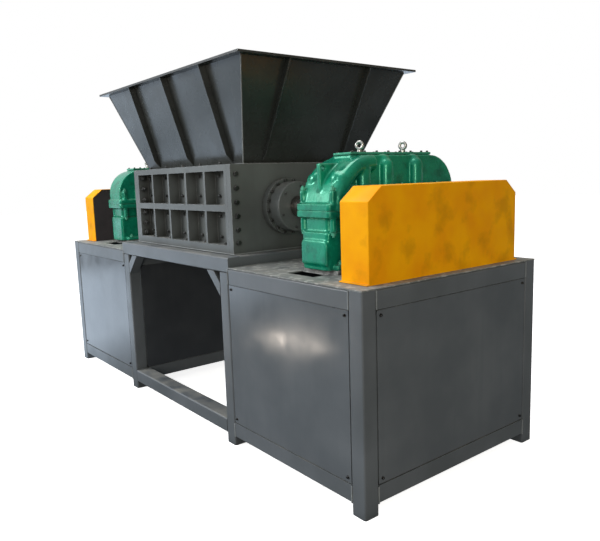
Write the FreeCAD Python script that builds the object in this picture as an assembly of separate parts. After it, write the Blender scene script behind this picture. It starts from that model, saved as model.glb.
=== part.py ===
import FreeCAD, Part
import math
import os

V = FreeCAD.Vector
os.makedirs("parts", exist_ok=True)

# Driving dimensions in millimetres. X runs along the machine, -Y is the front, +Z is up, and the origin is
# on the floor under the middle of the machine.

# Cabinets: two box frames of square tube that carry the reducers and hold the motors
machine_length = 3300.0
frame_width = 1210.0
cabinet_height = 960.0
gap_length = 1170.0
tube = 80.0
foot_height = 50.0
top_plate_t = 6.0
panel_t = 4.0
panel_recess = 3.0
panel_gap = 4.0
stop_lip = 20.0
stop_t = 4.0

# Base frame that bridges the gap and carries the chamber
beam_rise = 50.0
beam_overhang = 10.0
brace_leg = 130.0
brace_width = 50.0
brace_depth = 60.0
tie_depth = 100.0

# Cutting chamber: two end plates and two ribbed side walls
chamber_overlap = 15.0
chamber_side_room = 86.0
chamber_height = 473.0
end_plate_t = 40.0
end_plate_clearance = 3.0
side_wall_depth = 110.0
side_plate_t = 42.0
cell_columns = 5
cell_rows = 2
rib_t = 18.0
middle_rib_t = 34.0
end_frame_t = 25.0
top_frame_t = 33.0
bottom_frame_t = 45.0

# Knife shafts: the hooks pass the wall, and the other shaft's spacers, at a set distance
axis_rise = 240.0
hook_wall_room = 29.0
hook_spacer_room = 19.0
spacer_share = 126.0 / 205.0
hook_height = 27.0
knife_count = 13
knife_end_room = 20.0
knife_side_clearance = 2.0
hex_across_flats = 130.0
journal_r = 55.0
hook_count = 6
hook_rake = 2.0
hook_land = 11.0
hook_fall = 3.0
hook_back = 34.0
knife_stagger = 4

# Scraper combs between the knives
comb_clearance = 8.0
comb_side = 4.0
comb_half_height = 60.0

# Bearing housings on the end plates
bore_clearance = 0.05
ring_room = 24.0
ring_t = 40.0
ring_flange = 17.0
housing_length = 125.0
housing_chamfer = 4.0
housing_cap_t = 20.0
journal_cap_gap = 5.0
journal_end = 280.0

# Hopper
hopper_height = 515.0
hopper_foot_x = 3.0
hopper_flare_x = 246.0
hopper_flare_y = 149.0
sheet_t = 6.0
rim_width = 54.0
rim_t = 12.0
rib_width = 45.0
rib_bar_t = 8.0
rib_set_in_x = 126.0
rib_set_in_y = 132.5
rib_shift_x = 37.0
rib_shift_y = -19.5
rib_end_gap = 8.0
rib_head = 5.0

# Reducers. The sizes from low_centres to cover_plate_y are for a case of this length and grow with it
reducer_place = 0.5512
family_length = 875.0
case_front_room = 165.0
case_rear_room = 170.0
seat_t = 20.0
seat_margin = 30.0
body_width = 190.0
flange_width = 244.0
flange_t = 31.0
flange_lip = 10.0
small_arch_rise = 70.0
bearing_wall = 8.0
bearing_cap_t = 12.0
foot_t = 24.0
body_corner_r = 18.0
pad_width = 182.0
pad_height = 135.0
pad_proud = 8.0
pad_corner_r = 22.0
upper_inset = 14.0
pocket_height = 66.0
bolt_boss_r = 15.0
bolt_boss_edge = 2.0
upper_boss_height = 60.0
column_r = 37.0
column_top_gap = 12.0
front_column_r = 40.0
arch_rim_depth = 50.0
arch_rim_proud = 22.0
lug_t = 25.0
lug_top_gap = 32.0
lug_hole_r = 11.0
cover_plate_width = 124.0
cover_plate_t = 12.0
cover_seat_drop = 19.0
cover_seat_rise = 4.0
low_centres = 250.0
high_centres = 150.0
big_arch = 245.0
small_arch = 175.0
bearing_seats = (105.0, 82.0, 66.0)
bolt_boss_y = (-240.0, -120.0, 125.0, 210.0, 330.0, 470.0, 575.0)
column_y = (-47.0, 105.0, 313.0)
front_column_y = -175.0
lug_reach = 232.0
cover_plate_y = (-85.0, 475.0)
output_shaft_r = 55.0
input_shaft_r = 25.0
coupling_r = 105.0
coupling_disc_t = 40.0
coupling_hub_r = 80.0
coupling_hub_length = 80.0
coupling_gap = 12.0

# Belt guards
guard_end_room = 55.0
guard_side_room = 95.0
guard_width = 165.0
guard_height = 400.0
guard_chamfer_y = 78.0
guard_chamfer_z = 62.0
guard_sheet = 3.0
guard_back_set = 4.0
guard_back_gap = 0.3
guard_hole_room = 10.0

# Openings in the top plates, in front of and behind each reducer
slot_before = 125.0
slot_after = 68.0
slot_edge = 95.0
slot_width = 95.0

# Derived places
half_length = machine_length / 2
half_width = frame_width / 2
gap_half = gap_length / 2
inner_x = half_width - tube
rail_top = cabinet_height - top_plate_t
rail_bottom = rail_top - tube
foot_rail_top = foot_height + tube
beam_top = cabinet_height + beam_rise
beam_bottom = beam_top - tube
beam_half = gap_half + tube + beam_overhang
chamber_half = gap_half + chamber_overlap
chamber_half_y = half_width - chamber_side_room
chamber_top = beam_top + chamber_height
chamber_inner_x = chamber_half - end_plate_t
chamber_inner_y = chamber_half_y - side_wall_depth
axis_height = beam_top + axis_rise
hook_r = (2 * (chamber_inner_y - hook_wall_room) - hook_spacer_room) / (3 + spacer_share)
spacer_r = hook_r * spacer_share
shaft_y = (hook_r + spacer_r + hook_spacer_room) / 2
knife_body_r = hook_r - hook_height
knife_pitch = 2 * (chamber_inner_x - knife_end_room) / (knife_count + 0.5)
knife_t = knife_pitch / 2 - knife_side_clearance
ring_r = shaft_y - ring_room
housing_r = ring_r - ring_flange
hopper_bottom_x = chamber_inner_x + hopper_foot_x
hopper_bottom_y = chamber_inner_y
hopper_top_x = hopper_bottom_x + hopper_flare_x
hopper_top_y = hopper_bottom_y + hopper_flare_y
hopper_top_z = chamber_top + hopper_height
seat_top = cabinet_height + seat_t
guard_x = half_length - guard_end_room - guard_width
reducer_x = gap_half + reducer_place * (half_length - gap_half)


def box(x0, x1, y0, y1, z0, z1):
    """A box between two corners."""
    return Part.makeBox(x1 - x0, y1 - y0, z1 - z0, V(x0, y0, z0))


def rod(radius, start, end):
    """A round bar between two points."""
    along = V(*end) - V(*start)
    return Part.makeCylinder(radius, along.Length, V(*start), along)


def slab_x(outline, x0, x1):
    """A plate with an outline of (y, z) points, from x0 to x1."""
    points = [V(x0, y, z) for y, z in outline]
    face = Part.Face(Part.makePolygon(points + points[:1]))
    return face.extrude(V(x1 - x0, 0, 0))


def slab_y(outline, y0, y1):
    """A plate with an outline of (x, z) points, from y0 to y1."""
    points = [V(x, y0, z) for x, z in outline]
    face = Part.Face(Part.makePolygon(points + points[:1]))
    return face.extrude(V(0, y1 - y0, 0))


def slab_z(outline, z0, z1):
    """A plate with an outline of (x, y) points, from z0 to z1."""
    points = [V(x, y, z0) for x, y in outline]
    face = Part.Face(Part.makePolygon(points + points[:1]))
    return face.extrude(V(0, 0, z1 - z0))


def fused(solids):
    """One clean solid out of several that touch."""
    whole = solids[0].fuse(solids[1:]) if len(solids) > 1 else solids[0]
    return whole.removeSplitter()


def turned(shape, degrees):
    """A copy turned about the machine's upright axis."""
    copy = shape.copy()
    copy.rotate(V(0, 0, 0), V(0, 0, 1), degrees)
    return copy


def mirrored(shape, normal):
    """A copy mirrored in the plane through the origin with this normal."""
    return shape.mirror(V(0, 0, 0), normal)


def write(node, solids):
    """One STEP file of one node, its solids kept apart."""
    flat = [solid for shape in solids for solid in shape.Solids]
    shape = flat[0] if len(flat) == 1 else Part.makeCompound(flat)
    shape.exportStep(f"parts/{node}.step")
    print(node, len(flat), "solids", round(shape.Volume / 1e6, 2), "litres")


def sides(shape_or_list):
    """The right side's solids and the left side's, which is the right one turned half round."""
    shapes = shape_or_list if isinstance(shape_or_list, list) else [shape_or_list]
    return {"right": shapes, "left": [turned(shape, 180) for shape in shapes]}


# Cabinets

def cabinet_posts():
    """Four corner posts; the inner pair stops under the base beam."""
    posts = []
    for y in (-half_width, inner_x):
        posts.append(box(gap_half, gap_half + tube, y, y + tube, 0, beam_bottom))
        posts.append(box(half_length - tube, half_length, y, y + tube, 0, rail_top))
    return posts


def stop_strip_long(y_outer, inward, z0, z1):
    """A flat strip behind a side panel's edge, welded to a long rail."""
    y0 = y_outer + inward * (panel_recess + panel_t)
    y1 = y0 + inward * stop_t
    return box(gap_half + tube, half_length - tube, min(y0, y1), max(y0, y1), z0, z1)


def cabinet_long_rails():
    """Top and bottom rails along X, each with the strip that its side panel closes on."""
    rails = []
    for y, outer, inward in ((-half_width, -half_width, 1), (inner_x, half_width, -1)):
        bottom = box(gap_half + tube, half_length - tube, y, y + tube, foot_height, foot_rail_top)
        bottom_stop = stop_strip_long(outer, inward, foot_rail_top, foot_rail_top + stop_lip)
        top = box(beam_half, half_length - tube, y, y + tube, rail_bottom, rail_top)
        top_stop = stop_strip_long(outer, inward, rail_bottom - stop_lip, rail_bottom)
        rails += [fused([bottom, bottom_stop]), fused([top, trimmed_left(top_stop, beam_half)])]
    return rails


def trimmed_left(shape, x_min):
    """The part of a shape beyond x_min."""
    reach = box(x_min, machine_length, -machine_length, machine_length, 0, machine_length)
    return shape.common(reach)


def stop_strip_cross(x_outer, inward, z0, z1):
    """A flat strip behind an end panel's edge, welded to a cross rail."""
    x0 = x_outer + inward * (panel_recess + panel_t)
    x1 = x0 + inward * stop_t
    return box(min(x0, x1), max(x0, x1), -inner_x, inner_x, z0, z1)


def cabinet_cross_rails():
    """Top and bottom rails along Y at the outer end and at the gap, with their stop strips."""
    rails = []
    outer = half_length - tube
    places = ((gap_half, gap_half, 1, beam_bottom - tube), (outer, half_length, -1, rail_bottom))
    for x, face, inward, top_rail_z in places:
        bottom = box(x, x + tube, -inner_x, inner_x, foot_height, foot_rail_top)
        bottom_stop = stop_strip_cross(face, inward, foot_rail_top, foot_rail_top + stop_lip)
        top = box(x, x + tube, -inner_x, inner_x, top_rail_z, top_rail_z + tube)
        top_stop = stop_strip_cross(face, inward, top_rail_z - stop_lip, top_rail_z)
        rails += [fused([bottom, bottom_stop]), fused([top, top_stop])]
    return rails


def cabinet_side_panels():
    """Flat panels in the front and rear frame openings, a thin gap all round."""
    x0 = gap_half + tube + panel_gap
    x1 = half_length - tube - panel_gap
    z0 = foot_rail_top + panel_gap
    z1 = rail_bottom - panel_gap
    front = -half_width + panel_recess
    rear = half_width - panel_recess - panel_t
    return [box(x0, x1, y, y + panel_t, z0, z1) for y in (front, rear)]


def cabinet_end_panels():
    """Flat panels in the outer end's opening and in the one that faces the gap."""
    y1 = inner_x - panel_gap
    z0 = foot_rail_top + panel_gap
    inner = gap_half + panel_recess
    outer = half_length - panel_recess - panel_t
    return [
        box(inner, inner + panel_t, -y1, y1, z0, beam_bottom - tube - panel_gap),
        box(outer, outer + panel_t, -y1, y1, z0, rail_bottom - panel_gap),
    ]


def cabinet_top_plate():
    """The top plate with its openings and the raised seat that the reducer is bolted to."""
    plate = box(beam_half, half_length, -half_width, half_width, rail_top, cabinet_height)
    slot_x0 = reducer_x - slot_before
    slot_x1 = reducer_x + slot_after
    for y0 in (-half_width + slot_edge, half_width - slot_edge - slot_width):
        plate = plate.cut(box(slot_x0, slot_x1, y0, y0 + slot_width, rail_top, cabinet_height))
    seat_half = flange_width / 2
    seat_y0 = -half_width + case_front_room + seat_margin
    seat_y1 = half_width - case_rear_room - seat_margin
    seat = box(reducer_x - seat_half, reducer_x + seat_half, seat_y0, seat_y1, cabinet_height, seat_top)
    return fused([plate, seat])


cabinet_parts = {
    "posts": cabinet_posts(),
    "long_rails": cabinet_long_rails(),
    "cross_rails": cabinet_cross_rails(),
    "side_panels": cabinet_side_panels(),
    "end_panels": cabinet_end_panels(),
    "top_plate": [cabinet_top_plate()],
}
for name, solids in cabinet_parts.items():
    for side, shapes in sides(solids).items():
        write(f"{side}_{name}", shapes)


# Base frame

def corner_brace(side):
    """A flat diagonal brace in a top corner of the gap, front side."""
    corner_x = side * gap_half
    across = brace_width * math.sqrt(2)
    outline = [
        (corner_x - side * brace_leg, beam_bottom),
        (corner_x - side * (brace_leg - across), beam_bottom),
        (corner_x, beam_bottom - (brace_leg - across)),
        (corner_x, beam_bottom - brace_leg),
    ]
    return slab_y(outline, -half_width, -half_width + brace_depth)


long_beams = [
    box(-beam_half, beam_half, y, y + tube, beam_bottom, beam_top) for y in (-half_width, inner_x)
]
cross_beams = [
    box(x, x + tube, -inner_x, inner_x, beam_bottom, beam_top) for x in (-beam_half, beam_half - tube)
]
front_braces = [corner_brace(-1), corner_brace(1)]
ties = [
    box(-gap_half, gap_half, y, y + tie_depth, foot_height, foot_rail_top)
    for y in (-half_width, half_width - tie_depth)
]
write("base_long_beams", long_beams)
write("base_cross_beams", cross_beams)
write("corner_braces", front_braces + [mirrored(brace, V(0, 1, 0)) for brace in front_braces])
write("bottom_ties", ties)


# Cutting chamber

def chamber_side_wall():
    """The front wall: a thick inner plate with a grid of deep cells outside, as welded from ribs."""
    y_face = -chamber_half_y
    wall = box(-chamber_inner_x, chamber_inner_x, y_face, y_face + side_wall_depth, beam_top, chamber_top)
    cells_x0 = -chamber_inner_x + end_frame_t
    cells_x1 = chamber_inner_x - end_frame_t
    cell_length = (cells_x1 - cells_x0 - (cell_columns - 1) * rib_t) / cell_columns
    cells_z0 = beam_top + bottom_frame_t
    cells_z1 = chamber_top - top_frame_t
    cell_height = (cells_z1 - cells_z0 - (cell_rows - 1) * middle_rib_t) / cell_rows
    cell_depth = side_wall_depth - side_plate_t
    for column in range(cell_columns):
        x0 = cells_x0 + column * (cell_length + rib_t)
        for row in range(cell_rows):
            z0 = cells_z0 + row * (cell_height + middle_rib_t)
            cell = box(x0, x0 + cell_length, y_face, y_face + cell_depth, z0, z0 + cell_height)
            wall = wall.cut(cell)
    return wall


def chamber_end_plate():
    """The right end plate with a bore for each knife shaft's journal."""
    plate = box(chamber_inner_x, chamber_half, -chamber_half_y, chamber_half_y, beam_top, chamber_top)
    for y in (-shaft_y, shaft_y):
        start = (chamber_inner_x, y, axis_height)
        end = (chamber_half, y, axis_height)
        plate = plate.cut(rod(journal_r + end_plate_clearance, start, end))
    return plate


def bearing_housing(y, driven):
    """A bolted ring and the round housing that stands out of it; the idle shaft's bore is closed."""
    start = chamber_half
    ring = rod(ring_r, (start, y, axis_height), (start + ring_t, y, axis_height))
    barrel = rod(housing_r, (start, y, axis_height), (start + housing_length, y, axis_height))
    bore_length = housing_length if driven else housing_length - housing_cap_t
    bore = rod(journal_r + bore_clearance, (start, y, axis_height), (start + bore_length, y, axis_height))
    body = ring.fuse(barrel).removeSplitter()
    outer = [
        edge for edge in body.Edges
        if edge.BoundBox.XMin > start + housing_length - 0.1 and edge.Curve.TypeId == "Part::GeomCircle"
    ]
    return body.makeChamfer(housing_chamfer, outer).cut(bore)


side_wall = chamber_side_wall()
write("front_chamber_wall", [side_wall])
write("rear_chamber_wall", [turned(side_wall, 180)])
for side, shapes in sides(chamber_end_plate()).items():
    write(f"{side}_end_plate", shapes)
for side, shapes in sides([bearing_housing(-shaft_y, True), bearing_housing(shaft_y, False)]).items():
    write(f"{side}_bearing_housings", shapes)


# Knife shafts

def hex_bar(x0, x1, y):
    """A hexagonal bar along X about a knife shaft's axis."""
    corner_r = hex_across_flats / math.sqrt(3)
    outline = [
        (y + corner_r * math.cos(math.radians(60 * k)), axis_height + corner_r * math.sin(math.radians(60 * k)))
        for k in range(6)
    ]
    return slab_x(outline, x0, x1)


def knife_start(index, shift):
    """Where a knife's near face lies along X."""
    return -knife_count * knife_pitch / 2 + knife_side_clearance + index * knife_pitch + shift


def knife(index, shift, y, turn):
    """One disc knife: hooks with a radial cutting face and a sloping back, on the hexagonal bar."""
    phase = index * 360.0 / hook_count / knife_stagger
    outline = []
    for hook in range(hook_count):
        start = phase + hook * 360.0 / hook_count
        for radius, offset in ((knife_body_r, 0.0), (hook_r, hook_rake), (hook_r - hook_fall, hook_land),
                               (knife_body_r, hook_back)):
            angle = turn * math.radians(start + offset)
            outline.append((y + radius * math.cos(angle), axis_height + radius * math.sin(angle)))
    x0 = knife_start(index, shift)
    return slab_x(outline, x0, x0 + knife_t).cut(hex_bar(x0, x0 + knife_t, y))


def knife_shaft(y, shift):
    """Hexagonal bar, spacer rings and round journals; the front shaft is driven on the right."""
    first = -chamber_inner_x + knife_side_clearance
    last = chamber_inner_x - knife_side_clearance
    driven = chamber_half + journal_end
    idle = chamber_half + housing_length - housing_cap_t - journal_cap_gap
    start, end = (-idle, driven) if y < 0 else (-driven, idle)
    parts = [hex_bar(first, last, y)]
    parts.append(rod(journal_r, (start, y, axis_height), (end, y, axis_height)))
    edges = [first]
    for index in range(knife_count):
        x0 = knife_start(index, shift)
        edges += [x0, x0 + knife_t]
    edges.append(last)
    for x0, x1 in zip(edges[::2], edges[1::2]):
        if x1 - x0 > knife_side_clearance:
            parts.append(rod(spacer_r, (x0, y, axis_height), (x1, y, axis_height)))
    return fused(parts)


def comb(wall_side, y, shift):
    """Scraper blocks on a side wall that reach between one shaft's knives to its spacers."""
    blocks = []
    wall_y = wall_side * chamber_inner_y
    for index in range(knife_count - 1):
        x0 = knife_start(index, shift) + knife_t + comb_side
        x1 = knife_start(index + 1, shift) - comb_side
        z0 = axis_height - comb_half_height
        z1 = axis_height + comb_half_height
        block = box(x0, x1, min(y, wall_y), max(y, wall_y), z0, z1)
        room = rod(spacer_r + comb_clearance, (x0, y, axis_height), (x1, y, axis_height))
        blocks.append(block.cut(room))
    return blocks


for name, y, wall_side, shift, turn in (
    ("front", -shaft_y, -1, -knife_pitch / 4, 1),
    ("rear", shaft_y, 1, knife_pitch / 4, -1),
):
    write(f"{name}_knife_shaft", [knife_shaft(y, shift)])
    write(f"{name}_knives", [knife(index, shift, y, turn) for index in range(knife_count)])
    write(f"{name}_scraper_combs", comb(wall_side, y, shift))


# Hopper

def frustum(x0, y0, z0, x1, y1, z1):
    """A straight-sided solid between two rectangles centred on the upright axis."""
    lower = Part.makePolygon([V(x, y, z0) for x, y in corners(x0, y0)])
    upper = Part.makePolygon([V(x, y, z1) for x, y in corners(x1, y1)])
    return Part.makeLoft([lower, upper], True, True)


def corners(x, y):
    """The closed corner list of a centred rectangle."""
    return [(-x, -y), (x, -y), (x, y), (-x, y), (-x, -y)]


def hopper_shell():
    """Sloping sheet walls with a flat rim round the mouth."""
    z1 = hopper_top_z - rim_t
    outer = frustum(hopper_bottom_x + sheet_t, hopper_bottom_y + sheet_t, chamber_top,
                    hopper_top_x + sheet_t, hopper_top_y + sheet_t, z1)
    inner = frustum(hopper_bottom_x, hopper_bottom_y, chamber_top, hopper_top_x, hopper_top_y, z1)
    rim_x = hopper_top_x + rim_width
    rim_y = hopper_top_y + rim_width
    rim = box(-rim_x, rim_x, -rim_y, rim_y, z1, hopper_top_z)
    mouth = box(-hopper_top_x, hopper_top_x, -hopper_top_y, hopper_top_y, z1, hopper_top_z)
    return outer.cut(inner).fuse(rim.cut(mouth)).removeSplitter()


def hopper_sector(normal_x, normal_y):
    """The upright wedge that cuts one wall out of the shell along its mitred corners."""
    near = (hopper_bottom_x - hopper_flare_x / 2, hopper_bottom_y - hopper_flare_y / 2)
    far = (hopper_bottom_x + 2 * hopper_flare_x, hopper_bottom_y + 2 * hopper_flare_y)
    if normal_y:
        outline = [(-near[0], near[1]), (near[0], near[1]), (far[0], far[1]), (-far[0], far[1])]
        outline = [(x, normal_y * y) for x, y in outline]
    else:
        outline = [(near[0], -near[1]), (near[0], near[1]), (far[0], far[1]), (far[0], -far[1])]
        outline = [(normal_x * x, y) for x, y in outline]
    return slab_z(outline, chamber_top, hopper_top_z)


def front_rib(x):
    """A flat bar on edge along the front wall's slope, from the chamber to the rim."""
    z0 = chamber_top + rib_end_gap
    z1 = hopper_top_z - rim_t
    slope = hopper_flare_y / (z1 - chamber_top)
    y0 = -(hopper_bottom_y + sheet_t + slope * (z0 - chamber_top))
    y1 = -(hopper_top_y + sheet_t)
    outline = [(y0, z0), (y1, z1), (y1 - rib_width + rib_head, z1), (y0 - rib_width, z0 + rib_width)]
    return slab_x(outline, x - rib_bar_t / 2, x + rib_bar_t / 2)


def end_rib(y):
    """A flat bar on edge along the right end wall's slope."""
    z0 = chamber_top + rib_end_gap
    z1 = hopper_top_z - rim_t
    slope = hopper_flare_x / (z1 - chamber_top)
    x0 = hopper_bottom_x + sheet_t + slope * (z0 - chamber_top)
    x1 = hopper_top_x + sheet_t
    outline = [(x0, z0), (x1, z1), (x1 + rib_width - rib_head, z1), (x0 + rib_width, z0 + rib_width)]
    return slab_y(outline, y - rib_bar_t / 2, y + rib_bar_t / 2)


shell = hopper_shell()
for name, normal in (("front", (0, -1)), ("rear", (0, 1)), ("right", (1, 0)), ("left", (-1, 0))):
    write(f"hopper_{name}_wall", [shell.common(hopper_sector(*normal))])
rib_x = hopper_bottom_x - rib_set_in_x
rib_y = hopper_bottom_y - rib_set_in_y
ribs = [front_rib(rib_shift_x + x) for x in (-rib_x, 0, rib_x)]
ribs += [end_rib(rib_shift_y + y) for y in (-rib_y, rib_y)]
write("hopper_ribs", ribs + [turned(rib, 180) for rib in ribs])


# Reducers, modelled on the right side about the output shaft

out_y = -shaft_y
body_y0 = -half_width + case_front_room
body_y1 = half_width - case_rear_room
growth = (body_y1 - body_y0) / family_length
flange_y0 = body_y0 - flange_lip
flange_y1 = body_y1 + flange_lip
shaft_places = [out_y + growth * dy for dy in (0, low_centres, low_centres + high_centres)]
bearing_radii = [growth * radius for radius in bearing_seats]
big_arch_r = growth * big_arch
small_arch_r = growth * small_arch
arch_top = axis_height + big_arch_r
small_centre_y = body_y1 - small_arch_r
small_centre_z = axis_height + small_arch_rise
cover_plate_y0, cover_plate_y1 = [out_y + growth * dy for dy in cover_plate_y]


def rounded_plate(width, y0, y1, z0, z1, radius):
    """A block centred on the reducer with rounded upright corners."""
    block = box(reducer_x - width / 2, reducer_x + width / 2, y0, y1, z0, z1)
    upright = [edge for edge in block.Edges if edge.BoundBox.ZLength > (z1 - z0) - 0.1]
    return block.makeFillet(radius, upright)


def bearing_half(y, radius, lower):
    """Half of a bearing seat across the reducer, below or above the split."""
    x0 = reducer_x - flange_width / 2
    x1 = reducer_x + flange_width / 2
    barrel = rod(radius, (x0, y, axis_height), (x1, y, axis_height))
    z0, z1 = (axis_height - radius, axis_height) if lower else (axis_height, axis_height + radius)
    return barrel.common(box(x0, x1, y - radius, y + radius, z0, z1))


def front_pad():
    """The raised pad with rounded top corners on the output end of the lower box."""
    z0 = seat_top + foot_t
    pad = box(reducer_x - pad_width / 2, reducer_x + pad_width / 2,
              body_y0 - pad_proud, body_y0 + pad_proud, z0, seat_top + pad_height)
    top_edges = [
        edge for edge in pad.Edges
        if edge.BoundBox.YLength > pad_proud and edge.BoundBox.ZMin > z0 + 1
    ]
    return pad.makeFillet(pad_corner_r, top_edges)


def bolt_bosses(z0, z1):
    """Round bosses under or on the split flange at each flange bolt."""
    bosses = []
    inset = flange_width / 2 - bolt_boss_r - bolt_boss_edge
    for dy in bolt_boss_y:
        y = out_y + growth * dy
        for x in (reducer_x - inset, reducer_x + inset):
            bosses.append(rod(bolt_boss_r, (x, y, z0), (x, y, z1)))
    return bosses


def reducer_base():
    """The cast lower box: feet, body, pocketed neck, split flange, lower bearing seats."""
    neck_z = axis_height - flange_t - pocket_height
    foot = rounded_plate(flange_width, body_y0 + seat_margin, body_y1 - seat_margin, seat_top,
                         seat_top + foot_t, body_corner_r)
    body = rounded_plate(body_width, body_y0, body_y1, seat_top, neck_z, body_corner_r)
    neck = rounded_plate(body_width - 2 * upper_inset, body_y0 + upper_inset, body_y1 - upper_inset,
                         neck_z, axis_height - flange_t, body_corner_r)
    flange = rounded_plate(flange_width, flange_y0, flange_y1, axis_height - flange_t, axis_height,
                           body_corner_r)
    parts = [body, foot, neck, flange, front_pad()]
    parts += [bearing_half(y, radius, True) for y, radius in zip(shaft_places, bearing_radii)]
    parts += bolt_bosses(neck_z, axis_height - flange_t)
    return fused(parts)


def arch_outline():
    """The cover's side view: a large arch over the output gear, a flat top and a smaller arch."""
    left = out_y - big_arch_r
    right = small_centre_y + small_arch_r
    base = axis_height + flange_t
    low_y = out_y - math.sqrt(big_arch_r ** 2 - flange_t ** 2)
    mid = math.radians(135)
    big_mid = (out_y + big_arch_r * math.cos(mid), axis_height + big_arch_r * math.sin(mid))
    diagonal = math.sqrt(0.5) * small_arch_r
    small_mid = (small_centre_y + diagonal, small_centre_z + diagonal)
    x = reducer_x - body_width / 2

    def at(y, z):
        return V(x, y, z)

    edges = [
        Part.Arc(at(low_y, base), at(*big_mid), at(out_y, arch_top)).toShape(),
        Part.makeLine(at(out_y, arch_top), at(small_centre_y, small_centre_z + small_arch_r)),
        Part.Arc(at(small_centre_y, small_centre_z + small_arch_r), at(*small_mid),
                 at(right, small_centre_z)).toShape(),
        Part.makeLine(at(right, small_centre_z), at(right, base)),
        Part.makeLine(at(right, base), at(low_y, base)),
    ]
    return Part.Wire(edges)


def side_column(y, radius, z1):
    """A half-round column on the cover's side from the flange to near the top."""
    z0 = axis_height + flange_t
    columns = []
    for side in (-1, 1):
        x = reducer_x + side * (body_width / 2 - radius / 2)
        column = rod(radius, (x, y, z0), (x, y, z1 - radius / 2))
        dome = Part.makeSphere(radius, V(x, y, z1 - radius / 2), V(0, 0, 1), 0, 90)
        columns.append(column.fuse(dome))
    return columns


def arch_rim():
    """The thicker edge of the large arch, from the flange up to its crown."""
    half = body_width / 2 + arch_rim_proud
    start = (reducer_x - half, out_y, axis_height)
    end = (reducer_x + half, out_y, axis_height)
    ring = rod(big_arch_r, start, end).cut(rod(big_arch_r - arch_rim_depth, start, end))
    return ring.common(box(start[0], end[0], out_y - big_arch_r, out_y, axis_height, arch_top))


def reducer_cover():
    """The cast upper cover: split flange, arched body with its rim, columns, bosses, bearing seats and lug."""
    flange = rounded_plate(flange_width, flange_y0, flange_y1, axis_height, axis_height + flange_t,
                           body_corner_r)
    body = Part.Face(arch_outline()).extrude(V(body_width, 0, 0))
    parts = [flange, body, arch_rim()]
    parts += bolt_bosses(axis_height + flange_t, axis_height + flange_t + upper_boss_height)
    parts += [bearing_half(y, radius, False) for y, radius in zip(shaft_places, bearing_radii)]
    for dy in column_y:
        parts += side_column(out_y + growth * dy, column_r, arch_top - column_top_gap)
    front_dy = growth * front_column_y
    front_z = axis_height + math.sqrt(big_arch_r ** 2 - front_dy ** 2)
    parts += side_column(out_y + front_dy, front_column_r, front_z - column_top_gap)
    lug_y = out_y - growth * lug_reach
    lug_top = arch_top - lug_top_gap
    lug_foot = axis_height + flange_t
    lug = slab_x([(lug_y, lug_foot), (lug_y, lug_top), (out_y, lug_top), (out_y, lug_foot)],
                 reducer_x - lug_t / 2, reducer_x + lug_t / 2)
    hole_y = lug_y + 2 * lug_hole_r
    hole_z = lug_top - 2 * lug_hole_r
    lug = lug.cut(rod(lug_hole_r, (reducer_x - lug_t, hole_y, hole_z), (reducer_x + lug_t, hole_y, hole_z)))
    parts.append(lug)
    plate_seat = box(reducer_x - cover_plate_width / 2, reducer_x + cover_plate_width / 2,
                     cover_plate_y0, cover_plate_y1, arch_top - cover_seat_drop, arch_top + cover_seat_rise)
    parts.append(plate_seat)
    return fused(parts)


def inspection_cover():
    """The flat plate that closes the opening on top of the cover."""
    z0 = arch_top + cover_seat_rise
    return box(reducer_x - cover_plate_width / 2, reducer_x + cover_plate_width / 2,
               cover_plate_y0, cover_plate_y1, z0, z0 + cover_plate_t)


def along_x(radius, x0, x1, y):
    """A round bar along X at the shafts' height."""
    return rod(radius, (x0, y, axis_height), (x1, y, axis_height))


def reducer_shafts():
    """Output shaft with its coupling half, the shafts' end caps, and the input shaft into the guard."""
    x_in = reducer_x - flange_width / 2
    x_out = reducer_x + flange_width / 2
    disc_x0 = chamber_half + journal_end + coupling_gap
    disc_x1 = disc_x0 + coupling_disc_t
    output = along_x(output_shaft_r, disc_x0, x_in - bearing_cap_t, shaft_places[0])
    disc = along_x(coupling_r, disc_x0, disc_x1, shaft_places[0])
    hub = along_x(coupling_hub_r, disc_x1, disc_x1 + coupling_hub_length, shaft_places[0])
    caps = []
    for y, radius in zip(shaft_places, bearing_radii):
        caps.append(along_x(radius - bearing_wall, x_in - bearing_cap_t, x_in, y))
        caps.append(along_x(radius - bearing_wall, x_out, x_out + bearing_cap_t, y))
    input_shaft = along_x(input_shaft_r, x_out + bearing_cap_t, guard_x + guard_width / 2, shaft_places[2])
    output_side = fused([output, disc, hub, caps[0]])
    input_side = fused([caps[5], input_shaft])
    return [output_side, input_side] + caps[1:5]


for name, solids in (
    ("reducer_base", [reducer_base()]),
    ("reducer_cover", [reducer_cover()]),
    ("reducer_shafts", reducer_shafts()),
    ("inspection_cover", [inspection_cover()]),
):
    for side, shapes in sides(solids).items():
        write(f"{side}_{name}", shapes)


# Belt guards

def guard_outline(shrink, z0):
    """The guard's side view, with its top corners cut off, smaller by shrink on every side."""
    y1 = half_width - guard_side_room - shrink
    z1 = cabinet_height + guard_height - shrink
    cut = shrink * (math.sqrt(2) - 1)
    cy = guard_chamfer_y - cut
    cz = guard_chamfer_z - cut
    return [(-y1, z0), (-y1, z1 - cz), (-y1 + cy, z1), (y1 - cy, z1), (y1, z1 - cz), (y1, z0)]


def belt_guard():
    """A sheet box over the belt, open below and towards the reducer."""
    outer_x = guard_x + guard_width
    hood = slab_x(guard_outline(0.0, cabinet_height), guard_x, outer_x)
    hollow = slab_x(guard_outline(guard_sheet, cabinet_height), guard_x, outer_x - guard_sheet)
    return hood.cut(hollow)


def guard_back():
    """The dark back plate that closes the guard towards the reducer, with the input shaft's hole."""
    x0 = guard_x + guard_back_set
    outline = guard_outline(guard_sheet + guard_back_gap, cabinet_height)
    plate = slab_x(outline, x0, x0 + guard_sheet)
    hole = along_x(input_shaft_r + guard_hole_room, x0, x0 + guard_sheet, shaft_places[2])
    return plate.cut(hole)


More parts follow.
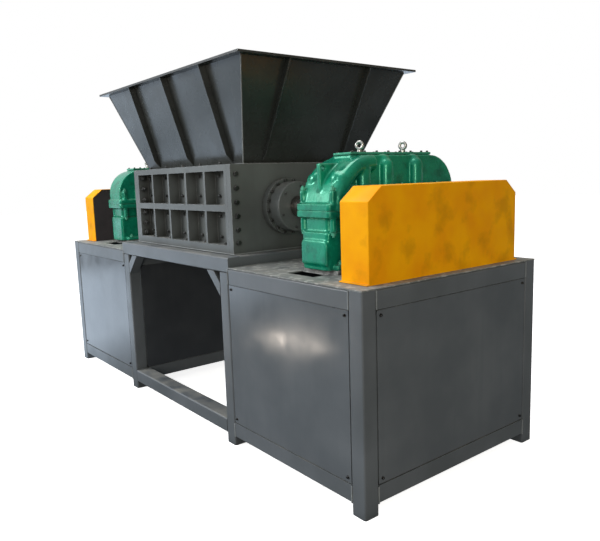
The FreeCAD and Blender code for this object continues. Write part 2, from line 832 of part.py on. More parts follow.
for side, shapes in sides(belt_guard()).items():
    write(f"{side}_belt_guard", shapes)
for side, shapes in sides(guard_back()).items():
    write(f"{side}_guard_back", shapes)
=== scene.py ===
# %% [markdown]
# # Dressing a double shaft shredder
#
# The machine stands finished in another program: tubes, plates, castings and knives at their real size.
# This notebook gives it its looks. It keeps every plate where it is and adds what makes steel look like
# steel: rounded tube edges, cast fillets, bolts, weld seams, paint, dust and scratches.
#
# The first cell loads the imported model. Each piece arrives as an object of its own at the origin, with its
# place in its mesh, and everything is in metres.

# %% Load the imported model
import math
import bmesh
import bpy
from mathutils import Matrix, Vector


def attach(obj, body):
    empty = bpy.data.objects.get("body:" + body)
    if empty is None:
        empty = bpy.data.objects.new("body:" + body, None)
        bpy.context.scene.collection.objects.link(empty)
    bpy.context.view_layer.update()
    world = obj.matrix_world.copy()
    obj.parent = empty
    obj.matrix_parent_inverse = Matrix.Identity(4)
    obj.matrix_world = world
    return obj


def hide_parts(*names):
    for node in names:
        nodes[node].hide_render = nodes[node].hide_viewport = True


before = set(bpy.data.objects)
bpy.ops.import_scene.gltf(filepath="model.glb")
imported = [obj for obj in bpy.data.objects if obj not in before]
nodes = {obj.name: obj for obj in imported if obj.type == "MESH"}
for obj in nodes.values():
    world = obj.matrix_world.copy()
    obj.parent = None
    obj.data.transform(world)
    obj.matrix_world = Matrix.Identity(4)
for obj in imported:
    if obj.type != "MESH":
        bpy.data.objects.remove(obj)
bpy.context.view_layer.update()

MM = 0.001

# %% [markdown]
# ## The camera
#
# A camera can be placed by eye, but the picture of the machine fixes it better: straight edges that run
# along the machine, across it and upright meet at three vanishing points, and those give the place, the
# direction and the angle of view. The lens is worked out for a frame 600 pixels wide.

# %% Camera
def aimed(yaw, pitch, roll):
    """A camera's rotation from its turn, its tilt and its roll in degrees."""
    turn = Matrix.Rotation(math.radians(yaw), 4, "Z")
    tilt = Matrix.Rotation(math.radians(90 + pitch), 4, "X")
    lean = Matrix.Rotation(math.radians(roll), 4, "Z")
    return turn @ tilt @ lean


CAMERA_PLACE = (3.3556, -2.2387, 1.400)
YAW, PITCH, ROLL = 51.95, -8.50, -1.84
FOCAL_PIXELS, PICTURE_WIDTH, SENSOR_MM = 618.99, 600.0, 36.0
camera = bpy.data.objects.new("camera", bpy.data.cameras.new("camera"))
bpy.context.collection.objects.link(camera)
camera.matrix_world = Matrix.Translation(CAMERA_PLACE) @ aimed(YAW, PITCH, ROLL)
camera.data.sensor_width = SENSOR_MM
camera.data.lens = FOCAL_PIXELS * SENSOR_MM / PICTURE_WIDTH
bpy.context.scene.camera = camera
print("lens", round(camera.data.lens, 2), "mm")

# %% [markdown]
# ## Helpers for nodes and colours
#
# Colours are written as sRGB hex codes, as a paint chart gives them, and one function turns them into the
# linear values that the shader wants. Another adds a shader node with its settings and links in one call
# and hands back the output that the next node needs. Sockets go by name, or by number where a name stands
# for several of them: a colour mix has its share at 0, its two colours at 6 and 7 and its result at 2.

# %% Node and colour helpers
def colour(code):
    """An sRGB hex code as linear red, green, blue and alpha."""
    parts = [int(code[i:i + 2], 16) / 255 for i in (1, 3, 5)]
    return [p / 12.92 if p <= 0.04045 else ((p + 0.055) / 1.055) ** 2.4 for p in parts] + [1.0]


def add(tree, kind, inputs=None, out=0, **settings):
    """Adds a shader node and returns one output. An input is a plain value, or another node's output."""
    made = tree.nodes.new("ShaderNode" + kind)
    for key, value in settings.items():
        setattr(made, key, value)
    for key, value in (inputs or {}).items():
        if isinstance(value, bpy.types.NodeSocket):
            tree.links.new(value, made.inputs[key])
        else:
            made.inputs[key].default_value = value
    return made.outputs[out] if made.outputs else made


def new_material(name):
    """An empty node material and its tree."""
    made = bpy.data.materials.new(name)
    made.use_nodes = True
    made.node_tree.nodes.clear()
    return made, made.node_tree


# %% [markdown]
# ## Light and background
#
# The machine was pictured against white, with soft light from the front and shade on its drive end. The
# world gives the soft share. The camera sees it white. Mirror reflections see it bright and cool towards the
# front left, where the light comes from, and dark and warmer towards the drive end. The light that falls on
# the machine is shared out the same way.

# %% World
world = bpy.data.worlds.new("studio")
bpy.context.scene.world = world
world.use_nodes = True
sky = world.node_tree
sky.nodes.clear()
camera_ray = add(sky, "LightPath", out="Is Camera Ray")
glossy_ray = add(sky, "LightPath", out="Is Glossy Ray")
glass_ray = add(sky, "LightPath", out="Is Transmission Ray")
heading = add(sky, "TexCoord")
facing = add(sky, "VectorMath", {0: heading, 1: (-0.45, -0.80, 0.40)}, out="Value", operation="DOT_PRODUCT")
ambient = add(sky, "MapRange", {"Value": facing, "From Min": -0.9, "From Max": 0.9, "To Min": 0.40, "To Max": 0.66})
mirror = add(sky, "MapRange", {"Value": facing, "From Min": -0.5, "From Max": 0.7, "To Min": 0.22, "To Max": 1.0})
cool = add(sky, "MapRange", {"Value": facing, "From Min": -0.4, "From Max": 0.3})
tint = add(sky, "Mix", {0: cool, 6: colour("#fff3dc"), 7: colour("#eef3fa")}, out=2, data_type="RGBA")
lighting = add(sky, "Background", {"Color": tint, "Strength": ambient})
mirrored = add(sky, "Background", {"Color": tint, "Strength": mirror})
white = add(sky, "Background", {"Color": (1, 1, 1, 1), "Strength": 1.0})
by_gloss = add(sky, "MixShader", {0: glossy_ray, 1: lighting, 2: mirrored})
seen = add(sky, "Math", {0: camera_ray, 1: glass_ray}, operation="MAXIMUM")
add(sky, "OutputWorld", {"Surface": add(sky, "MixShader", {0: seen, 1: by_gloss, 2: white})})
print("world", len(sky.nodes), "nodes")

# %% [markdown]
# ## Lamps
#
# A room's windows are large and soft, so each is an area lamp of about its size. One stands in front of the
# machine on the left, a weaker one hangs above, and a tall narrow one stands where the viewer's door would
# be. The last one draws the bright bands on the round castings.

# %% Lamps
def area_lamp(name, place, aim, width, height, watts, code):
    """A rectangular lamp that points at a place."""
    data = bpy.data.lights.new(name, "AREA")
    data.shape = "RECTANGLE"
    data.size, data.size_y, data.energy, data.color = width, height, watts, colour(code)[:3]
    lamp = bpy.data.objects.new(name, data)
    bpy.context.collection.objects.link(lamp)
    direction = Vector(aim) - Vector(place)
    lamp.matrix_world = Matrix.Translation(place) @ direction.to_track_quat("-Z", "Y").to_matrix().to_4x4()


area_lamp("front_window", (-3.6, -6.4, 4.2), (-0.2, 0.0, 0.9), 3.4, 2.2, 400.0, "#fbfcff")
area_lamp("roof_light", (-0.5, -0.5, 6.0), (0.0, 0.0, 0.5), 4.0, 3.0, 170.0, "#ffffff")
area_lamp("door_light", (6.6, -5.0, 1.9), (0.9, 0.0, 0.9), 1.1, 2.4, 150.0, "#fff4e4")
bpy.context.scene.view_settings.view_transform = "Standard"

# %% [markdown]
# ## The floor
#
# A plain pale floor is enough to set the machine down. To the camera it is nearly white, so the white ground
# around the machine runs on without an edge, and the part that is left of its own shading keeps the shadow.
# To mirror reflections only, it glows: a painted reflection that brightens towards the left, where an open,
# daylit room would be, and a painted pool of sunlight near the machine, which the front panel mirrors as a
# bright streak. For light that bounces up from it, it is a duller grey, as a workshop floor is.

# %% Floor
bpy.ops.object.select_all(action="DESELECT")
bpy.ops.mesh.primitive_plane_add(size=60.0, location=(0.0, 0.0, 0.0))
floor = bpy.context.object
floor.name = "floor"
floor_material, tree = new_material("pale_floor")
camera_ray = add(tree, "LightPath", out="Is Camera Ray")
glass_ray = add(tree, "LightPath", out="Is Transmission Ray")
glossy_ray = add(tree, "LightPath", out="Is Glossy Ray")
seen = add(tree, "Math", {0: camera_ray, 1: glass_ray}, operation="MAXIMUM")
dull = add(tree, "BsdfDiffuse", {"Color": colour("#6f716f")})
pale = add(tree, "BsdfDiffuse", {"Color": colour("#ffffff")})
lit = add(tree, "Emission", {"Color": (1, 1, 1, 1), "Strength": 0.84})
shown = add(tree, "AddShader", {0: pale, 1: lit})
spot = add(tree, "TexCoord", out="Object")
slant = add(tree, "VectorMath", {0: spot, 1: (1.0, -0.6, 0.0)}, out="Value", operation="DOT_PRODUCT")
along = add(tree, "SeparateXYZ", {"Vector": spot}, out="X")
near = add(tree, "MapRange", {"Value": slant, "From Min": -0.5, "From Max": -1.7, "To Min": 0.16, "To Max": 2.3})
shade = add(tree, "MapRange", {"Value": along, "From Min": -6.4, "From Max": -7.6, "To Min": 0.0, "To Max": -2.0})
beyond = add(tree, "MapRange", {"Value": along, "From Min": -8.3, "From Max": -12.0, "To Min": 0.0, "To Max": 1.9})
distant = add(tree, "Math", {0: shade, 1: beyond}, operation="ADD")
brightness = add(tree, "Math", {0: near, 1: distant}, operation="ADD")
from_pool = add(tree, "Mapping", {"Vector": spot, "Location": (0.80, 2.12, 0.0)})
oval = add(tree, "VectorMath", {0: from_pool, 1: (1.8, 6.5, 0.0)}, operation="MULTIPLY")
reach = add(tree, "VectorMath", {0: oval}, out="Value", operation="LENGTH")
pool = add(tree, "MapRange", {"Value": reach, "From Min": 1.0, "From Max": 0.3, "To Max": 20.0})
# Painted reflection: these glows reach only mirror rays, a painted daylight glow brighter to the left and a painted
# pool of sunlight in an oval near the machine.
painted_daylight_glow = add(tree, "Emission", {"Color": colour("#cfe0f2"), "Strength": brightness})
painted_sun_pool_glow = add(tree, "Emission", {"Color": colour("#fff0e0"), "Strength": pool})
painted_reflection_glow = add(tree, "AddShader", {0: painted_daylight_glow, 1: painted_sun_pool_glow})
unseen = add(tree, "MixShader", {0: glossy_ray, 1: dull, 2: painted_reflection_glow})
surface = add(tree, "MixShader", {0: seen, 1: unseen, 2: shown})
add(tree, "OutputMaterial", {"Surface": surface})
floor.data.materials.append(floor_material)
print("floor", len(tree.nodes), "nodes")


# %% [markdown]
# ## Patterns that every paint shares
#
# Paint is never quite even: it has cloudy patches a few hand-widths across, an orange-peel skin of a few
# millimetres, edges that are lighter, partly worn and partly a painted highlight, runs that hang down, painted
# shade deep in its corners and dust where it lies flat. Each pattern is a small group of nodes whose sizes
# are given in millimetres.

# %% Shared patterns
def noise(tree, size_mm, detail=3.0, stretch=(1.0, 1.0, 1.0)):
    """Cloudy noise with patches about size_mm across, stretched along an axis by a small factor."""
    spot = add(tree, "Mapping", {"Vector": add(tree, "TexCoord", out="Object"), "Scale": stretch})
    return add(tree, "TexNoise", {"Vector": spot, "Scale": 1.0 / (size_mm * MM), "Detail": detail})


def worn_and_highlit_edges(tree, radius_mm, ragged_mm):
    """A share that is 1 along sharp edges, broken up by noise."""
    rounded = add(tree, "Bevel", {"Radius": radius_mm * MM}, samples=4)
    flat = add(tree, "NewGeometry", out="Normal")
    likeness = add(tree, "VectorMath", {0: rounded, 1: flat}, out="Value", operation="DOT_PRODUCT")
    edge = add(tree, "MapRange", {"Value": likeness, "From Min": 0.98, "From Max": 0.82})
    ragged = add(tree, "MapRange", {"Value": noise(tree, ragged_mm, 4.0), "From Min": 0.42, "From Max": 0.60})
    return add(tree, "Math", {0: edge, 1: ragged}, operation="MULTIPLY")


def painted_hollow_shade(tree, reach_mm):
    """A share that rises to 1 deep in corners and recesses, where painted shade darkens the colour."""
    open_share = add(tree, "AmbientOcclusion", {"Distance": reach_mm * MM}, out="AO", samples=6)
    return add(tree, "MapRange", {"Value": open_share, "From Min": 0.75, "From Max": 0.25})


def settled_dust(tree, low, high):
    """A share that is 1 on faces that look up, in loose patches."""
    up = add(tree, "SeparateXYZ", {"Vector": add(tree, "NewGeometry", out="Normal")}, out="Z")
    flat = add(tree, "MapRange", {"Value": up, "From Min": 0.55, "From Max": 0.95})
    patch = add(tree, "MapRange", {"Value": noise(tree, 90.0, 6.0), "From Min": low, "From Max": high})
    return add(tree, "Math", {0: flat, 1: patch}, operation="MULTIPLY")


# %% [markdown]
# ## Grey machine paint
#
# The frame, the chamber and the hopper are sprayed with a semi-gloss grey enamel on rolled steel. The eye
# sees soft reflections that swim a little, because the sheet is not quite flat, and fine orange peel. Edges
# get a lighter line, partly where the coat is thin and partly a painted highlight. Thick plate keeps a rougher
# mill skin under the paint. Corners and recesses are darkened with painted shade, most of all on thick plate.
# The decks carry white scuffs from boots and from plates that were dragged.

# %% Grey paints
def painted(name, deep, pale, rough, dusty=0.75, skin_mm=5.0, skin=0.12, wave_mm=420.0, wave=0.10,
            edge="#9aa0a3", scuffs=0.0, edge_wear_and_highlight=0.55, hollow=0.6):
    """A sprayed enamel: two close tones, runs, orange peel on a wavy sheet, edges lighter as wear and painted
    highlight, dust, scuffs and painted shade in hollows.
    """
    made, tree = new_material(name)
    cloudy = add(tree, "MapRange", {"Value": noise(tree, 320.0), "From Min": 0.35, "From Max": 0.65})
    tone = add(tree, "Mix", {0: cloudy, 6: colour(deep), 7: colour(pale)}, out=2, data_type="RGBA")
    runs = add(tree, "MapRange", {"Value": noise(tree, 40.0, 2.0, (1.0, 1.0, 0.06)), "From Min": 0.5,
                                  "From Max": 0.8, "To Max": 0.35})
    tone = add(tree, "Mix", {0: runs, 6: tone, 7: colour(deep)}, out=2, data_type="RGBA")
    # Sharp edges turn lighter: partly thin worn paint, partly a painted highlight.
    wear_and_highlight = add(tree, "Math", {0: worn_and_highlit_edges(tree, 3.0, 25.0), 1: edge_wear_and_highlight}, operation="MULTIPLY")
    tone = add(tree, "Mix", {0: wear_and_highlight, 6: tone, 7: colour(edge)}, out=2, data_type="RGBA")
    settled = add(tree, "Math", {0: settled_dust(tree, 0.36, 0.68), 1: dusty}, operation="MULTIPLY")
    tone = add(tree, "Mix", {0: settled, 6: tone, 7: colour("#8b8a83")}, out=2, data_type="RGBA")
    scuffed = add(tree, "MapRange", {"Value": noise(tree, 40.0, 9.0), "From Min": 0.54, "From Max": 0.60,
                                     "To Max": scuffs})
    tone = add(tree, "Mix", {0: scuffed, 6: tone, 7: colour("#b4b5b0")}, out=2, data_type="RGBA")
    # Painted shade: the colour darkens deep in corners and recesses, where less light reaches.
    shade_in_hollows = add(tree, "Math", {0: painted_hollow_shade(tree, 80.0), 1: hollow}, operation="MULTIPLY")
    tone = add(tree, "Mix", {0: shade_in_hollows, 6: tone, 7: colour("#23241f")}, out=2, data_type="RGBA")
    roughness = add(tree, "MapRange", {"Value": noise(tree, 130.0, 4.0), "From Min": 0.3, "From Max": 0.7,
                                       "To Min": rough - 0.06, "To Max": rough + 0.08})
    roughness = add(tree, "Math", {0: settled, 1: 0.4, 2: roughness}, operation="MULTIPLY_ADD")
    waves = add(tree, "Bump", {"Height": noise(tree, wave_mm, 1.0), "Strength": wave, "Distance": 20 * MM})
    peel = add(tree, "Bump", {"Height": noise(tree, skin_mm, 2.0), "Strength": skin, "Distance": 0.5 * MM,
                              "Normal": waves})
    shader = add(tree, "BsdfPrincipled", {"Base Color": tone, "Roughness": roughness, "Normal": peel, "IOR": 1.5})
    add(tree, "OutputMaterial", {"Surface": shader})
    return made


tube_paint = painted("grey_enamel_on_square_tube", "#565b5e", "#62676b", 0.36)
panel_paint = painted("grey_enamel_on_sheet_panels", "#575c60", "#62676b", 0.17, wave_mm=520.0, wave=0.14)
# Thick plate: the palest edges, partly wear and partly painted highlight, and the deepest painted shade in its
# cells.
plate_paint = painted("grey_enamel_on_thick_plate", "#535756", "#636867", 0.40, skin_mm=9.0, skin=0.22,
                      edge="#bcc1c2", edge_wear_and_highlight=0.9, hollow=0.85)
# A darker copy of the grey enamel: painted shade for the panels that face the gap under the chamber.
shaded_paint = painted("painted_shade_grey_enamel_on_inner_panels", "#303337", "#3d4043", 0.35)
# The hopper's sheet and ribs: a darker copy of the same grey enamel, painted shade that dims the hopper.
hopper_paint = painted("shade_darkened_grey_enamel_on_hopper_sheet", "#2f3230", "#3b3e3d", 0.26)
deck_paint = painted("scuffed_grey_enamel_on_deck", "#656866", "#7c7f7d", 0.50, dusty=0.95, edge="#d0d2ce",
                     scuffs=0.55)
print([material.name for material in bpy.data.materials])

# %% [markdown]
# ## Green and yellow enamel
#
# The reducers are cast iron under a thick glossy green. Cast iron keeps the grain of its sand mould, which
# the paint softens to gentle waves of about a centimetre, so highlights break up into beads, and they keep
# a mint tint. Its corners are painted a pale mint, partly rubbed paint and partly a painted highlight; it
# carries patches of dark grime, and its recesses are darkened with painted shade in the same colour. The
# belt guards are thin folded sheet in an orange yellow, smoother and less glossy, with large greasy smears.

# %% Enamels
def thick_enamel(name, deep, pale, rough, wave_mm, wave, edge_wear_and_highlight_code, dirt_and_shade_code, dirt=0.45, coat=0.4,
                 patch_mm=60.0, specular=0.5, shine_code="#ffffff", hollow=0.8):
    """A thick enamel with waves from what lies under it, grime, pale edges that are partly wear and partly painted
    highlight, and painted shade in hollows; hollow sets that shade, and where it is set the pale corners follow a
    casting's pointiness.
    """
    made, tree = new_material(name)
    cloudy = add(tree, "MapRange", {"Value": noise(tree, 180.0), "From Min": 0.35, "From Max": 0.65})
    tone = add(tree, "Mix", {0: cloudy, 6: colour(deep), 7: colour(pale)}, out=2, data_type="RGBA")
    grime = add(tree, "MapRange", {"Value": noise(tree, patch_mm, 5.0), "From Min": 0.52, "From Max": 0.66,
                                   "To Max": dirt})
    tone = add(tree, "Mix", {0: grime, 6: tone, 7: colour(dirt_and_shade_code)}, out=2, data_type="RGBA")
    # Painted shade: the colour darkens deep in corners and recesses, where less light reaches.
    shade_in_hollows = add(tree, "Math", {0: painted_hollow_shade(tree, 45.0), 1: hollow}, operation="MULTIPLY")
    tone = add(tree, "Mix", {0: shade_in_hollows, 6: tone, 7: colour(dirt_and_shade_code)}, out=2, data_type="RGBA")
    # Pale corners: on a casting they follow its pointiness, elsewhere its sharp edges; partly rubbed paint, partly a
    # painted highlight.
    if hollow:
        pointed = add(tree, "NewGeometry", out="Pointiness")
        corner = add(tree, "MapRange", {"Value": pointed, "From Min": 0.52, "From Max": 0.62})
    else:
        corner = worn_and_highlit_edges(tree, 2.5, 18.0)
    wear_and_highlight = add(tree, "Math", {0: corner, 1: 0.35}, operation="MULTIPLY")
    tone = add(tree, "Mix", {0: wear_and_highlight, 6: tone, 7: colour(edge_wear_and_highlight_code)}, out=2, data_type="RGBA")
    settled = add(tree, "Math", {0: settled_dust(tree, 0.42, 0.74), 1: 0.35}, operation="MULTIPLY")
    tone = add(tree, "Mix", {0: settled, 6: tone, 7: colour("#8b8a7c")}, out=2, data_type="RGBA")
    roughness = add(tree, "MapRange", {"Value": noise(tree, 45.0, 4.0), "From Min": 0.3, "From Max": 0.7,
                                       "To Min": rough - 0.05, "To Max": rough + 0.10})
    skin = add(tree, "Bump", {"Height": noise(tree, wave_mm, 3.0), "Strength": wave, "Distance": 1.2 * MM})
    shader = add(tree, "BsdfPrincipled", {"Base Color": tone, "Roughness": roughness, "Normal": skin, "IOR": 1.5,
                                          "Coat Weight": coat, "Coat Roughness": 0.12,
                                          "Specular IOR Level": specular,
                                          "Specular Tint": colour(shine_code)})
    add(tree, "OutputMaterial", {"Surface": shader})
    return made


green_enamel = thick_enamel("green_enamel_on_cast_iron", "#077157", "#108a69", 0.24, 14.0, 0.50, "#8fe6c6",
                            "#0a3a2e", coat=0.12, specular=1.0, shine_code="#7ff2c8")
yellow_enamel = thick_enamel("yellow_enamel_on_folded_sheet", "#f09c00", "#fab000", 0.55, 90.0, 0.15, "#ffd25a",
                             "#c08200", 0.5, coat=0.0, patch_mm=130.0, specular=0.1, hollow=0.0)

# %% [markdown]
# ## Dull primer and bare steel
#
# The guard's back plate wears only a dark plum primer, which is dull and slightly mottled. The knives are
# ground tool steel with marks across them, and the shafts are turned, with fine rings and a film of oil.
# The lifting eyes are zinc plated, which is pale and slightly cloudy, and small screws are oil-blackened.
# Bolts that were sprayed with the machine wear a dark thin coat, and weld beads a lighter grey, a painted highlight.

# %% Primer and steel
dark_primer, tree = new_material("plum_primer_on_sheet")
mottle = add(tree, "MapRange", {"Value": noise(tree, 150.0, 4.0), "From Min": 0.3, "From Max": 0.7})
tone = add(tree, "Mix", {0: mottle, 6: colour("#2a2427"), 7: colour("#3a3134")}, out=2, data_type="RGBA")
shader = add(tree, "BsdfPrincipled", {"Base Color": tone, "Roughness": 0.75, "IOR": 1.5})
add(tree, "OutputMaterial", {"Surface": shader})


def bare_steel(name, deep, pale, rough, stretch, grain_mm):
    """Bare steel whose grain runs along the axis that is stretched."""
    made, tree = new_material(name)
    grain = noise(tree, grain_mm, 3.0, stretch)
    cloudy = add(tree, "MapRange", {"Value": noise(tree, 70.0, 5.0), "From Min": 0.35, "From Max": 0.70})
    tone = add(tree, "Mix", {0: cloudy, 6: colour(deep), 7: colour(pale)}, out=2, data_type="RGBA")
    wear_and_highlight = add(tree, "Math", {0: worn_and_highlit_edges(tree, 2.0, 12.0), 1: 0.6}, operation="MULTIPLY")
    tone = add(tree, "Mix", {0: wear_and_highlight, 6: tone, 7: colour("#d6d4d0")}, out=2, data_type="RGBA")
    roughness = add(tree, "MapRange", {"Value": grain, "From Min": 0.3, "From Max": 0.7,
                                       "To Min": rough - 0.10, "To Max": rough + 0.12})
    skin = add(tree, "Bump", {"Height": grain, "Strength": 0.15, "Distance": 0.3 * MM})
    shader = add(tree, "BsdfPrincipled", {"Base Color": tone, "Metallic": 1.0, "Roughness": roughness,
                                          "Normal": skin})
    add(tree, "OutputMaterial", {"Surface": shader})
    return made


tool_steel = bare_steel("ground_tool_steel", "#77736e", "#a19d97", 0.38, (1.0, 1.0, 0.15), 6.0)
turned_steel = bare_steel("turned_shaft_steel", "#7d7a76", "#a9a6a1", 0.30, (8.0, 1.0, 1.0), 12.0)
zinc_plate = bare_steel("zinc_plated_bolts", "#9b9a94", "#c9c8c2", 0.34, (1.0, 1.0, 1.0), 4.0)
black_oxide = bare_steel("oil_blackened_bolts", "#1d1c1b", "#33302d", 0.42, (1.0, 1.0, 1.0), 4.0)
sprayed_bolt = painted("grey_enamel_on_bolts", "#1d1e1c", "#393a38", 0.34, skin_mm=3.0, wave=0.0)
# Weld beads: a lighter grey, a painted highlight on the beads.
weld_paint = painted("highlit_grey_enamel_on_weld_beads", "#6d7273", "#8d9292", 0.32, skin_mm=3.0, wave=0.0)
print(len(bpy.data.materials), "materials")

# %% [markdown]
# ## Helpers for shapes
#
# An operator acts on everything that is selected, so each step starts by selecting one object only. A CAD
# piece's mesh is loose triangles: a copy is welded, and its flat faces are joined again, before its edges
# are rounded. Edges are chosen in code, by their length, direction and neighbours.

# %% Shape helpers
def only(*objs):
    """Selects these objects and makes the last one active."""
    bpy.ops.object.select_all(action="DESELECT")
    for obj in objs:
        obj.select_set(True)
    bpy.context.view_layer.objects.active = objs[-1]


def joined(objs, name):
    """Several objects joined into one."""
    only(*objs)
    if len(objs) > 1:
        bpy.ops.object.join()
    bpy.context.object.name = name
    return bpy.context.object


def welded_copy(node, name):
    """A copy of a CAD piece, its triangles welded and its flat faces joined."""
    copy = bpy.data.objects.new(name, nodes[node].data.copy())
    bpy.context.collection.objects.link(copy)
    copy.data.materials.clear()
    only(copy)
    bpy.ops.mesh.customdata_custom_splitnormals_clear()
    bpy.ops.object.mode_set(mode="EDIT")
    bpy.ops.mesh.select_all(action="SELECT")
    bpy.ops.mesh.remove_doubles(threshold=0.00001)
    bpy.ops.mesh.dissolve_limited(angle_limit=0.003)
    bpy.ops.object.mode_set(mode="OBJECT")
    return copy


def bevel_edges(obj, width_mm, segments, wanted):
    """Rounds the edges for which wanted(edge, angle) is true; the angle is negative in a hollow."""
    only(obj)
    bpy.ops.object.mode_set(mode="EDIT")
    bpy.ops.mesh.select_mode(type="EDGE")
    bpy.ops.mesh.select_all(action="DESELECT")
    shape = bmesh.from_edit_mesh(obj.data)
    count = 0
    for edge in shape.edges:
        if len(edge.link_faces) == 2 and wanted(edge, edge.calc_face_angle_signed(0.0)):
            edge.select_set(True)
            count += 1
    bmesh.update_edit_mesh(obj.data)
    if count:
        bpy.ops.mesh.bevel(offset=width_mm * MM, segments=segments, affect="EDGES", clamp_overlap=True)
    bpy.ops.object.mode_set(mode="OBJECT")
    return count


def smooth(obj, degrees=40.0):
    """Smooth shading that keeps sharp edges, with the large faces staying flat."""
    only(obj)
    bpy.ops.object.shade_smooth_by_angle(angle=math.radians(degrees))
    modifier = obj.modifiers.new("flat_faces", "WEIGHTED_NORMAL")
    modifier.keep_sharp = True
    bpy.ops.object.modifier_apply(modifier=modifier.name)


def finished(obj, material, slot, *replaced):
    """Gives a piece its material, ties it to the machine and hides the CAD pieces it replaces."""
    obj.data.materials.clear()
    obj.data.materials.append(material)
    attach(obj, "root")
    if replaced:
        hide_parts(*replaced)
    return obj


def half_turn(obj, name):
    """A copy with its own mesh on the other side of the machine, turned half round."""
    copy = bpy.data.objects.new(name, obj.data.copy())
    bpy.context.collection.objects.link(copy)
    copy.data.transform(Matrix.Rotation(math.pi, 4, "Z"))
    return copy


def both_sides(obj, part, material, slot, replaces=True):
    """Finishes a right-hand piece and its left-hand copy."""
    other = half_turn(obj, f"left_{part}_finished")
    obj.name = f"right_{part}_finished"
    finished(obj, material, slot, *([f"right_{part}"] if replaces else []))
    finished(other, material, slot, *([f"left_{part}"] if replaces else []))


# %% [markdown]
# ## Square tube
#
# Square tube is rolled from strip, so its long edges are rounded and its cut ends are sharp. The posts,
# rails, beams and ties all get that rounding along their length only. An edge counts as a tube's long edge
# when it is long and both faces beside it are wide, which leaves out the thin strips behind the panels.

# %% Round the tubes
def tube_edge(edge, angle):
    """A long outside edge between two wide faces."""
    wide = all(face.calc_area() > 0.03 for face in edge.link_faces)
    return angle > 1.4 and wide and edge.calc_length() > 0.2


for part in ("posts", "long_rails", "cross_rails"):
    tubes = welded_copy(f"right_{part}", part)
    count = bevel_edges(tubes, 9.0, 4, tube_edge)
    smooth(tubes)
    both_sides(tubes, part, tube_paint, "grey_paint")
    print(part, count, "edges rounded")
for part in ("base_long_beams", "base_cross_beams", "bottom_ties"):
    tubes = welded_copy(part, f"{part}_finished")
    count = bevel_edges(tubes, 9.0, 4, tube_edge)
    smooth(tubes)
    finished(tubes, tube_paint, "grey_paint", part)
    print(part, count, "edges rounded")

# %% [markdown]
# ## Plates and sheet
#
# Flame-cut plate has its edges broken by a grinder, a millimetre or two, and a welded inside corner is
# filled by the bead. So outside edges get a small bevel, and the hollow corners of the chamber wall's
# cells, where a rib meets the plate behind, a larger rounding that stands for the weld. The two panels that
# face the gap under the chamber get a darker copy of the grey coat, painted shade for the shadow in that gap.

# %% Break the edges of plates
def sharp_edge(edge, angle):
    """An outside edge that is sharper than a shallow bend."""
    return angle > 0.6


def hollow_edge(edge, angle):
    """An inside corner."""
    return angle < -0.6


for part, width, material in (("end_plate", 2.0, plate_paint), ("top_plate", 1.5, deck_paint),
                              ("side_panels", 1.0, panel_paint), ("end_panels", 1.0, panel_paint),
                              ("bearing_housings", 2.0, plate_paint)):
    plate = welded_copy(f"right_{part}", part)
    count = bevel_edges(plate, width, 2, sharp_edge)
    smooth(plate, 35.0)
    both_sides(plate, part, material, "grey_paint")
    print(part, count, "edges broken")

# Faces that look into the gap get the darker coat, painted shade.
BETWEEN_THE_PANELS = 0.7
for name in ("right_end_panels_finished", "left_end_panels_finished"):
    sheets = bpy.data.objects[name].data
    sheets.materials.append(shaded_paint)
    for face in sheets.polygons:
        face.material_index = 1 if abs(face.center.x) < BETWEEN_THE_PANELS else 0

wall = welded_copy("front_chamber_wall", "front_chamber_wall_finished")
fillets = bevel_edges(wall, 5.0, 2, hollow_edge)
count = bevel_edges(wall, 2.0, 2, sharp_edge)
smooth(wall, 35.0)
finished(half_turn(wall, "rear_chamber_wall_finished"), plate_paint, "grey_paint", "rear_chamber_wall")
finished(wall, plate_paint, "grey_paint", "front_chamber_wall")
print("chamber wall", fillets, "weld fillets,", count, "edges broken")

for part in ("hopper_front_wall", "hopper_right_wall"):
    sheet = welded_copy(part, f"{part}_finished")
    count = bevel_edges(sheet, 1.5, 2, lambda edge, angle: 1.2 < angle < 1.9)
    smooth(sheet, 30.0)
    other = part.replace("front", "rear").replace("right", "left")
    finished(half_turn(sheet, f"{other}_finished"), hopper_paint, "grey_paint", other)
    finished(sheet, hopper_paint, "grey_paint", part)
    print(part, count, "edges broken")
for part in ("hopper_ribs", "corner_braces"):
    bars = welded_copy(part, f"{part}_finished")
    bevel_edges(bars, 1.5, 2, sharp_edge)
    smooth(bars)
    finished(bars, hopper_paint if part == "hopper_ribs" else tube_paint, "grey_paint", part)

# %% [markdown]
# ## Belt guards
#
# A guard is folded from three-millimetre sheet, so its corners are bends with a small radius. The rim at
# the open side stays as cut.

# %% Fold the guards
guard = welded_copy("right_belt_guard", "belt_guard")
count = bevel_edges(guard, 4.0, 3, lambda edge, angle: abs(angle) > 0.5 and all(
    face.calc_area() > 0.006 for face in edge.link_faces))
smooth(guard, 35.0)
both_sides(guard, "belt_guard", yellow_enamel, "yellow_enamel")
print("guard", count, "folds")

# %% [markdown]
# ## Stop strips behind the panels
#
# A panel is not welded in: it lies against flat strips behind the frame's edge. The strips along the rails
# are there already; these stand behind the upright edges, so that no light shows through the gap. A flat
# bar starts as a cube that is stretched in edit mode, and its edges are broken like those of all cut bar.
# The belt guards stand on a lip of the same kind, turned out at the foot of their end faces.

